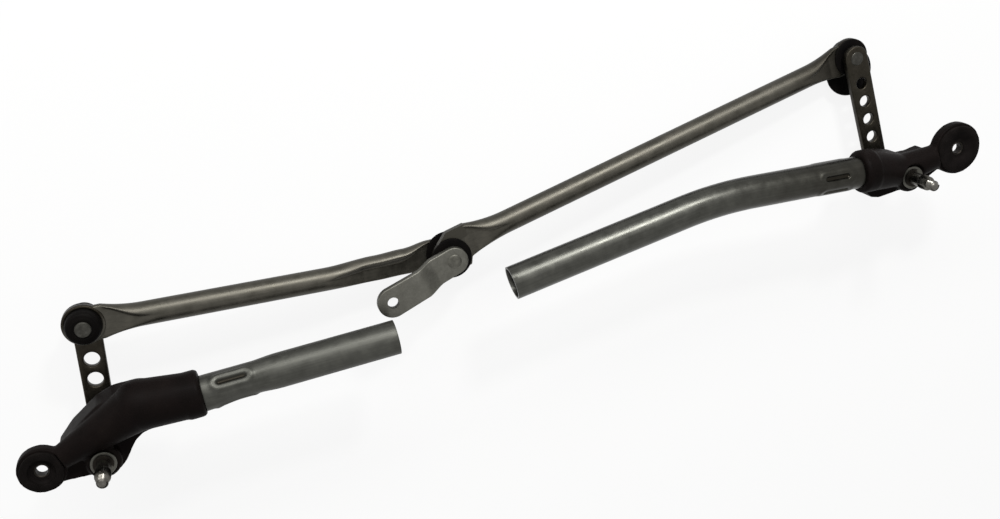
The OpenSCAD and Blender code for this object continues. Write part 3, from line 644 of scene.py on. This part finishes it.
# the disc is pushed in where the socket stands, which leaves room for the ball
for v in rim:
    if v.co.length < BITE_R:
        v.co.x = math.sqrt(BITE_R ** 2 - v.co.y ** 2)
made = bmesh.ops.extrude_face_region(bm, geom=list(bm.faces))["geom"]
bmesh.ops.translate(bm, vec=(0, 0, -SHIELD_T), verts=verts_in(made))
outer = [e for e in bm.edges if e.verts[0].co.z == e.verts[1].co.z
         and min(v.co.xy.length for v in e.verts) > BITE_R]
bmesh.ops.bevel(bm, geom=outer, offset=0.7, segments=3, profile=0.5, affect="EDGES", material=-1)
towards_shaft = math.atan2(-right_ball.y, right_shaft_x - right_ball.x)
bmesh.ops.rotate(bm, verts=bm.verts, matrix=Matrix.Rotation(towards_shaft, 3, "Z"))
place(bm, bm.verts, right_eye - Vector((0, 0, EYE_HALF + 0.4)))
place(bm, turn(bm, socket_outline(OUTER_DROP), 80), right_ball, True)
finish_piece("socket_right_outer", bm, "right_outer_socket", acetal, sharp=30)

# %% [markdown]
# ## Ball studs
# A stud is turned from bar: a ball with a flat end, a neck, a collar and a shank that is riveted over
# in its crank. The rivet's head is pressed nearly flush, which leaves a low dome with a shallow dimple.

# %% Studs, spun from outlines
NECK_R, SHANK_R, COLLAR_R, HEAD_R = 4.0, 4.5, 7.5, 5.3
BALL_FLAT = 4.9
BAR_T = 5.0


def ball_arc(low, high, n=16):
    return [(math.sqrt(BALL_R ** 2 - h * h), h) for h in [low + (high - low) * i / n for i in range(n + 1)]]


def rivet():
    """Riveted head on the far side of a bar whose near face is at height 0, from the axis outwards."""
    foot = -BAR_T
    return [(0, foot - 0.45), (1.6, foot - 0.5), (2.6, foot - 0.68), (3.8, foot - 0.68),
            (HEAD_R - 0.6, foot - 0.5), (HEAD_R, foot - 0.1), (HEAD_R, foot + 0.02), (SHANK_R, foot + 0.02),
            (SHANK_R, 0)]


def stud_outline(rise):
    neck = -math.sqrt(BALL_R ** 2 - NECK_R ** 2)
    arc = [(r, rise + h) for r, h in ball_arc(neck, BALL_FLAT)]
    collar = [(COLLAR_R, 0), (COLLAR_R, 1.5), (COLLAR_R - 0.5, 2.0), (NECK_R + 0.4, 2.0), (NECK_R, 2.5)]
    flat = rise + BALL_FLAT + 0.08
    return rivet() + collar + arc + [(arc[-1][0] - 0.5, flat), (0, flat)]


crank_top = -46.0
crank_foot = crank_top - BAR_T
bm = bmesh.new()
outline = stud_outline(left_ball.z - crank_top)
place(bm, turn(bm, outline, 64, closed=False), (left_ball.x, left_ball.y, crank_top))
finish_piece("stud_left", bm, "left_stud", stud_steel, sharp=40)
bm = bmesh.new()
outline = stud_outline(crank_foot - right_ball.z)
place(bm, turn(bm, outline, 64, closed=False), (right_ball.x, right_ball.y, crank_foot), flip=True)
finish_piece("stud_right", bm, "right_stud", stud_steel, sharp=40)

# %% The motor crank's stud carries two balls in line
plate_top = -27.5
plate_foot = plate_top - BAR_T
neck = math.sqrt(BALL_R ** 2 - NECK_R ** 2)
first = [(r, plate_foot - (upper_ball.z + h)) for r, h in reversed(ball_arc(-neck, neck))]
second = [(r, plate_foot - (lower_ball.z + h)) for r, h in reversed(ball_arc(-BALL_FLAT, neck))]
collar = [(COLLAR_R, 0), (COLLAR_R, 1.1), (COLLAR_R - 0.5, 1.6), (NECK_R, 1.6)]
outline = rivet() + collar + first + second + [(0, second[-1][1])]
bm = bmesh.new()
place(bm, turn(bm, outline, 64, closed=False), (upper_ball.x, upper_ball.y, plate_foot), flip=True)
finish_piece("stud_motor", bm, "motor_stud", head_steel, sharp=40)

# %% [markdown]
# ## Wiper cranks
# Each wiper crank is a length of flat bar with round ends and a row of holes that save weight. It is
# blanked in a press, so its top edge is rolled over. Circles give the outline and the holes, the area
# between them is filled, extruded and bevelled.

# %% A blanked bar with holes
CRANK_W, HOLE_STEP = 18.5, 15.5


def rounded_bar(bm, length, width, tip, segments=64):
    """A circle whose far half is moved along X and scaled to the tip's width."""
    half_step = Matrix.Rotation(math.pi / segments, 4, "Z")
    ring = bmesh.ops.create_circle(bm, segments=segments, radius=width / 2, matrix=half_step)["verts"]
    far = [v for v in ring if v.co.x > 0]
    bmesh.ops.scale(bm, vec=(tip / width, tip / width, 1), verts=far)
    bmesh.ops.translate(bm, vec=(length, 0, 0), verts=far)


def blank(bm, thick, edge, top_edge):
    """Fills the outline, extrudes it down and rolls its upper edges over."""
    bmesh.ops.triangle_fill(bm, edges=bm.edges, use_beauty=True, use_dissolve=False)
    bmesh.ops.recalc_face_normals(bm, faces=bm.faces)
    if sum(f.normal.z for f in bm.faces) < 0:
        bmesh.ops.reverse_faces(bm, faces=bm.faces)
    made = bmesh.ops.extrude_face_region(bm, geom=list(bm.faces))["geom"]
    bmesh.ops.translate(bm, vec=(0, 0, -thick), verts=verts_in(made))
    bmesh.ops.recalc_face_normals(bm, faces=bm.faces)
    for size, level in ((top_edge, 0.0), (edge, -thick)):
        rim = [e for e in bm.edges if len(e.link_faces) == 2 and e.calc_face_angle() > 1.0
               and all(abs(v.co.z - level) < 1e-4 for v in e.verts)]
        bmesh.ops.bevel(bm, geom=rim, offset=size, offset_type="OFFSET", segments=3, profile=0.5,
                        affect="EDGES", material=-1, clamp_overlap=True)


def make_crank(name, node, length, width, angle, holes, hole_r, at):
    bm = bmesh.new()
    rounded_bar(bm, length, width, tip=width + 1)
    for place_x, r in [(0, 4.0), (length, 4.5)] + [(h, hole_r) for h in holes]:
        bmesh.ops.create_circle(bm, segments=40, radius=r, matrix=Matrix.Translation((place_x, 0, 0)))
    blank(bm, BAR_T, edge=0.35, top_edge=1.0)
    bmesh.ops.rotate(bm, verts=bm.verts, matrix=Matrix.Rotation(angle, 3, "Z"))
    bmesh.ops.translate(bm, vec=at, verts=bm.verts)
    finish_piece(name, bm, node, crank_steel, sharp=45)


left_len = math.hypot(left_ball.x, left_ball.y)
make_crank("crank_left", "left_crank", left_len, CRANK_W, math.atan2(left_ball.y, left_ball.x),
           [left_len - 32 - HOLE_STEP * i for i in range(2)], 5.5, (0, 0, crank_top))
right_len = math.hypot(right_ball.x - right_shaft_x, right_ball.y)
right_lean = math.atan2(right_ball.y, right_ball.x - right_shaft_x)
make_crank("crank_right", "right_crank", right_len, CRANK_W, right_lean,
           [right_len - 21 - HOLE_STEP * i for i in range(4)], 4.5, (right_shaft_x, 0, crank_top))

# %% [markdown]
# ## Motor crank
# The motor crank is a cranked pressing with a serrated hole that grips the motor's shaft. It starts as the
# wiper cranks do, from circles. The plate is cut across at both bends before it is extruded, so that it
# folds there and nowhere else.

# %% Motor crank: blank, bend lines, serrated hub hole
hub = Vector([m["pos_m"] for m in record["mounts"] if m["name"] == "motor_hub"][0]) / MM
arm = Vector((hub.x - upper_ball.x, hub.y - upper_ball.y, 0))
BEND_FROM, BEND_TO, STEP_UP = 15.0, 28.0, 8.0
HUB_R, HUB_CLEAR = 4.5, 5.0
bm = bmesh.new()
rounded_bar(bm, arm.length, 21.0, tip=23.0)
bmesh.ops.create_circle(bm, segments=40, radius=SHANK_R)
hub_at = Matrix.Translation((arm.length, 0, 0))
teeth = bmesh.ops.create_circle(bm, segments=72, radius=HUB_R, matrix=hub_at)["verts"]
bmesh.ops.scale(bm, vec=(0.93, 0.93, 1), verts=teeth[::2], space=Matrix.Translation((-arm.length, 0, 0)))
bmesh.ops.triangle_fill(bm, edges=bm.edges, use_beauty=True, use_dissolve=False)
for k in range(7):
    x = BEND_FROM + (BEND_TO - BEND_FROM) * k / 6
    bmesh.ops.bisect_plane(bm, geom=list(bm.verts) + list(bm.edges) + list(bm.faces), plane_co=(x, 0, 0),
                           plane_no=(1, 0, 0))
bmesh.ops.recalc_face_normals(bm, faces=bm.faces)
if sum(f.normal.z for f in bm.faces) < 0:
    bmesh.ops.reverse_faces(bm, faces=bm.faces)
made = bmesh.ops.extrude_face_region(bm, geom=list(bm.faces))["geom"]
bmesh.ops.translate(bm, vec=(0, 0, -BAR_T), verts=verts_in(made))
bmesh.ops.recalc_face_normals(bm, faces=bm.faces)
for level, size in ((0.0, 0.9), (-BAR_T, 0.4)):
    rim = [e for e in bm.edges if len(e.link_faces) == 2 and e.calc_face_angle() > 1.0
           and all(abs(v.co.z - level) < 1e-4 for v in e.verts)
           and min((v.co - Vector((arm.length, 0, level))).length for v in e.verts) > HUB_CLEAR]
    bmesh.ops.bevel(bm, geom=rim, offset=size, offset_type="OFFSET", segments=3, profile=0.5,
                    affect="EDGES", material=-1, clamp_overlap=True)
for v in bm.verts:
    t = (v.co.x - BEND_FROM) / (BEND_TO - BEND_FROM)
    t = min(1.0, max(0.0, t))
    v.co.z += STEP_UP * (0.5 * t + 0.5 * ease(t))
bmesh.ops.rotate(bm, verts=bm.verts, matrix=Matrix.Rotation(math.atan2(arm.y, arm.x), 3, "Z"))
bmesh.ops.translate(bm, vec=(upper_ball.x, upper_ball.y, plate_top), verts=bm.verts)
finish_piece("crank_motor", bm, "motor_crank", pressing_steel, sharp=40)

# %% [markdown]
# ## Wiper shafts
# A wiper shaft is turned, grooved for its clip, knurled on a slight taper where the wiper arm bites, and
# threaded at the tip. The core is spun. The knurl is a star-shaped ring that is extruded with its taper,
# and the thread is a small triangle that is spun with a rise at each step.

# %% Shaft core, knurl and thread
KNURL_R = 5.5


def make_shaft(name, node, x):
    bm = bmesh.new()
    core = [(0, -52.5), (4.6, -52.5), (5.4, -52.1), (5.9, -51.0), (4.0, -51.0), (4.0, -46.0), (5.0, -46.0),
            (5.0, 1.8), (4.3, 1.85), (4.3, 2.95), (5.0, 3.0), (5.0, 14.2), (4.7, 14.3), (4.5, 21.9),
            (3.6, 22.1), (3.6, 28.4), (2.4, 30.0), (0, 30.0)]
    turn(bm, core, 64, closed=False)
    seat = Matrix.Translation((0, 0, 14.0))
    star = bmesh.ops.create_circle(bm, segments=72, radius=KNURL_R, matrix=seat)["verts"]
    bmesh.ops.scale(bm, vec=(0.91, 0.91, 1), verts=star[::2])
    edges = list({e for v in star for e in v.link_edges})
    bottom = edges
    for rise, shrink in ((0.4, 1.02), (6.8, 0.965), (0.7, 0.92)):
        made = bmesh.ops.extrude_edge_only(bm, edges=edges)["geom"]
        ring = verts_in(made)
        rim = set(ring)
        edges = [g for g in made if isinstance(g, bmesh.types.BMEdge) and set(g.verts) <= rim]
        bmesh.ops.translate(bm, vec=(0, 0, rise), verts=ring)
        bmesh.ops.scale(bm, vec=(shrink, shrink, 1), verts=ring)
    for loop in (bottom, edges):
        bmesh.ops.edgeloop_fill(bm, edges=loop)
    pitch, turns, per_turn = 1.25, 5, 32
    ridge = [bm.verts.new(p) for p in ((3.5, 0, 22.3), (3.5, 0, 23.3), (4.05, 0, 22.8))]
    sides = [bm.edges.new((ridge[i], ridge[(i + 1) % 3])) for i in range(3)]
    bm.faces.new(ridge)
    made = bmesh.ops.spin(bm, geom=ridge + sides, cent=(0, 0, 0), axis=(0, 0, 1),
                          dvec=(0, 0, pitch / per_turn), angle=2 * math.pi * turns, steps=per_turn * turns)
    ends = [g for g in made["geom_last"] if isinstance(g, bmesh.types.BMEdge)]
    bmesh.ops.edgeloop_fill(bm, edges=ends)
    bmesh.ops.translate(bm, vec=(x, 0, 0), verts=bm.verts)
    finish_piece(name, bm, node, shaft_steel, sharp=30)


make_shaft("shaft_left", "left_shaft", 0.0)
make_shaft("shaft_right", "right_shaft", right_shaft_x)

# %% [markdown]
# ## Washers, grommets and sleeves
# A stamped washer has a rolled upper edge. A grommet is a thick rubber ring that clips into the lug of its
# housing, dished round a short steel sleeve. All are round, so all are spun.

# %% Washers above the bosses
for side, x in (("left", 0.0), ("right", right_shaft_x)):
    bm = bmesh.new()
    place(bm, turn(bm, [(5.05, 0.4), (8.8, 0.4), (9.0, 0.6), (9.0, 1.3), (8.7, 1.7), (8.2, 1.8), (5.4, 1.8),
                        (5.05, 1.6)], 72), (x, 0, 0))
    finish_piece("washer_" + side, bm, side + "_washer", washer_steel, sharp=40)

# %% Grommets and sleeves in the lugs
LUG_H, SLEEVE_LEN, SLEEVE_OD, SLEEVE_BORE = 8.5, 7.0, 11.0, 8.0
lug_at = {m["name"][:-len("_lug_sleeve")]: Vector(m["pos_m"]) / MM for m in record["mounts"]
          if m["name"].endswith("_lug_sleeve")}
for side, lug_od in (("left", 33.0), ("right", 41.0)):
    flange = (lug_od - 4.0) / 2
    waist = flange - 4.0
    h, lug, inner = LUG_H / 2 + 2.5, LUG_H / 2, SLEEVE_OD / 2
    upper = [(flange, lug), (flange, h - 1.2), (flange - 0.35, h - 0.35), (flange - 1.2, h), (waist - 0.2, h),
             (waist - 1.2, h - 0.3), (inner + 3.6, SLEEVE_LEN / 2 + 1.2), (inner + 2.4, SLEEVE_LEN / 2 + 0.2),
             (inner + 1.6, SLEEVE_LEN / 2), (inner, SLEEVE_LEN / 2)]
    lower = [(r, -z) for r, z in upper]
    bm = bmesh.new()
    place(bm, turn(bm, [(waist, lug)] + upper + lower[::-1] + [(waist, -lug)], 80), lug_at[side])
    finish_piece("grommet_" + side, bm, side + "_grommet", rubber, sharp=30)
    bm = bmesh.new()
    e = SLEEVE_LEN / 2
    place(bm, turn(bm, [(SLEEVE_BORE / 2, -e + 0.5), (SLEEVE_BORE / 2 + 0.5, -e), (SLEEVE_OD / 2 - 0.4, -e),
                        (SLEEVE_OD / 2, -e + 0.4), (SLEEVE_OD / 2, e - 0.4), (SLEEVE_OD / 2 - 0.4, e),
                        (SLEEVE_BORE / 2 + 0.5, e), (SLEEVE_BORE / 2, e - 0.5)], 56), lug_at[side])
    finish_piece("sleeve_" + side, bm, side + "_sleeve", sleeve_steel, sharp=40)

# %% [markdown]
# ## Cast housings
# A die casting has no sharp inner corner: metal flows from boss to arm to lug in fillets. Bevels can't
# follow joints between cones and webs, so a copy of each solid is merged, rebuilt in small voxels and
# smoothed, which rounds every edge by about a millimetre, as the die and the coat do.

# %% Housings from remeshed copies of their solids
def cast_copy(name, node):
    bm = bmesh.new()
    bm.from_mesh(frame["nodes"][node].data)
    bmesh.ops.remove_doubles(bm, verts=bm.verts, dist=1e-6)
    mesh = bpy.data.meshes.new(name)
    bm.to_mesh(mesh)
    bm.free()
    mesh.materials.clear()
    rough_cast = bpy.data.objects.new(name + ".blank", mesh)
    bpy.context.scene.collection.objects.link(rough_cast)
    remesh = rough_cast.modifiers.new("voxels", "REMESH")
    remesh.mode = "VOXEL"
    remesh.voxel_size = 0.9 * MM
    relax = rough_cast.modifiers.new("fillets", "SMOOTH")
    relax.factor = 0.5
    relax.iterations = 9
    seen = rough_cast.evaluated_get(bpy.context.evaluated_depsgraph_get())
    finished = bpy.data.meshes.new_from_object(seen)
    finished.name = name
    bpy.data.objects.remove(rough_cast)
    dress(name, finished, node, cast_black, sharp=60)


cast_copy("housing_left", "left_housing")
cast_copy("housing_right", "right_housing")

# %% [markdown]
# ## Small solids that stay
# Bushes, seals, clips and thrust washers are plain in life too, and their solids are true to size. They
# keep their shapes and only get the finish of their material.

# %% Finishes for the solids that stay
kept = {"upper_bush": bush_bronze, "lower_bush": bush_bronze, "seal": rubber, "clip": sleeve_steel,
        "thrust_washer": washer_steel}
for side in ("left", "right"):
    for part, finish in kept.items():
        solid = frame["nodes"][f"{side}_{part}"]
        solid.data.materials.clear()
        solid.data.materials.append(finish)
print(2 * len(kept), "solids keep their shapes")

# %% [markdown]
# ## Floor and light
# The linkage lies on a white sweep. The floor lights itself for the camera and for reflections, so the
# ground is white and the metal shows it, while a share of plain diffuse white keeps a soft shadow. A long
# strip behind the linkage draws the bright lines along its tubes, a broad lamp above fills, and a short
# strip adds the gleam near the right tube's free end.

# %% White floor that keeps a soft shadow
FLOOR_GLOW = 0.88
low = cad_box[0][2]
bm = bmesh.new()
bmesh.ops.create_grid(bm, x_segments=1, y_segments=1, size=6.0)
bmesh.ops.translate(bm, vec=(0.3, 0, low - 0.0005), verts=bm.verts)
mesh = bpy.data.meshes.new("floor")
bm.to_mesh(mesh)
bm.free()
floor = bpy.data.objects.new("floor", mesh)
bpy.context.scene.collection.objects.link(floor)
material, tree = new_material("white sweep")
ray = add(tree, "LightPath")
seen = add(tree, "Math", {0: ray.outputs["Is Camera Ray"], 1: ray.outputs["Is Glossy Ray"]},
           operation="MAXIMUM")
seen = add(tree, "Math", {0: seen.outputs[0], 1: ray.outputs["Is Transmission Ray"]}, operation="MAXIMUM")
share = add(tree, "Math", {0: seen.outputs[0], 1: FLOOR_GLOW}, operation="MULTIPLY")
paper = add(tree, "BsdfDiffuse", {"Color": linear("#F4F4F2")})
glow = add(tree, "Emission", {"Color": linear("#FFFFFF"), "Strength": 1.0})
both = add(tree, "MixShader", {"Fac": share.outputs[0], 1: paper.outputs[0], 2: glow.outputs[0]})
add(tree, "OutputMaterial", {"Surface": both.outputs[0]})
mesh.materials.append(material)
print("floor at", round(low, 4))

# %% World and lamps
world = bpy.data.worlds.new("studio")
bpy.context.scene.world = world
world.use_nodes = True
tree = world.node_tree
tree.nodes.clear()
ray = add(tree, "LightPath")
seen = add(tree, "Math", {0: ray.outputs["Is Camera Ray"], 1: ray.outputs["Is Glossy Ray"]},
           operation="MAXIMUM")
seen = add(tree, "Math", {0: seen.outputs[0], 1: ray.outputs["Is Transmission Ray"]}, operation="MAXIMUM")
level = add(tree, "MapRange", {"Value": seen.outputs[0], "To Min": 0.25, "To Max": 1.0})
sky = add(tree, "Background", {"Color": linear("#FFFFFF"), "Strength": level.outputs["Result"]})
add(tree, "OutputWorld", {"Surface": sky.outputs[0]})


def lamp(name, at, aim, width, height, power):
    light = bpy.data.lights.new(name, "AREA")
    light.shape = "RECTANGLE"
    light.size, light.size_y = width, height
    light.energy = power
    holder = bpy.data.objects.new(name, light)
    away = (Vector(at) - Vector(aim)).normalized()
    right = Vector((1, 0, 0))
    up = away.cross(right).normalized()
    holder.matrix_world = Matrix.Translation(at) @ Matrix((right, up, right.cross(up))).transposed().to_4x4()
    bpy.context.scene.collection.objects.link(holder)


middle = (0.31, 0.04, -0.02)
lamp("strip behind", (-0.05, 1.35, 0.68), middle, width=1.9, height=0.3, power=17.0)
lamp("broad fill", (0.31, 0.95, 1.8), middle, width=2.0, height=0.8, power=5.0)
lamp("short strip", (0.76, 1.12, 0.84), (0.43, 0.06, 0.0), width=0.24, height=0.12, power=13.0)
print("three lamps")

# %% [markdown]
# ## Camera
# The picture was taken from above the left half, with a lens close to normal. Position and
# axes were found from the tubes, the shafts and their vanishing point.

# %% Camera at the picture's angle
camera = bpy.data.cameras.new("picture")
camera.sensor_fit = "HORIZONTAL"
camera.sensor_width = 36.0
camera.lens = 41.4
camera.clip_start = 0.01
holder = bpy.data.objects.new("picture", camera)
right = Vector((0.92994, -0.23326, 0.28427)).normalized()
forward = Vector((0.1831, -0.37666, -0.90807)).normalized()
up = right.cross(forward).normalized()
axes = Matrix((right, up, -forward)).transposed().to_4x4()
holder.matrix_world = Matrix.Translation((0.15265, 0.35803, 0.74903)) @ axes
bpy.context.scene.collection.objects.link(holder)
bpy.context.scene.camera = holder
bpy.context.scene.view_settings.view_transform = "Standard"
print("camera set")
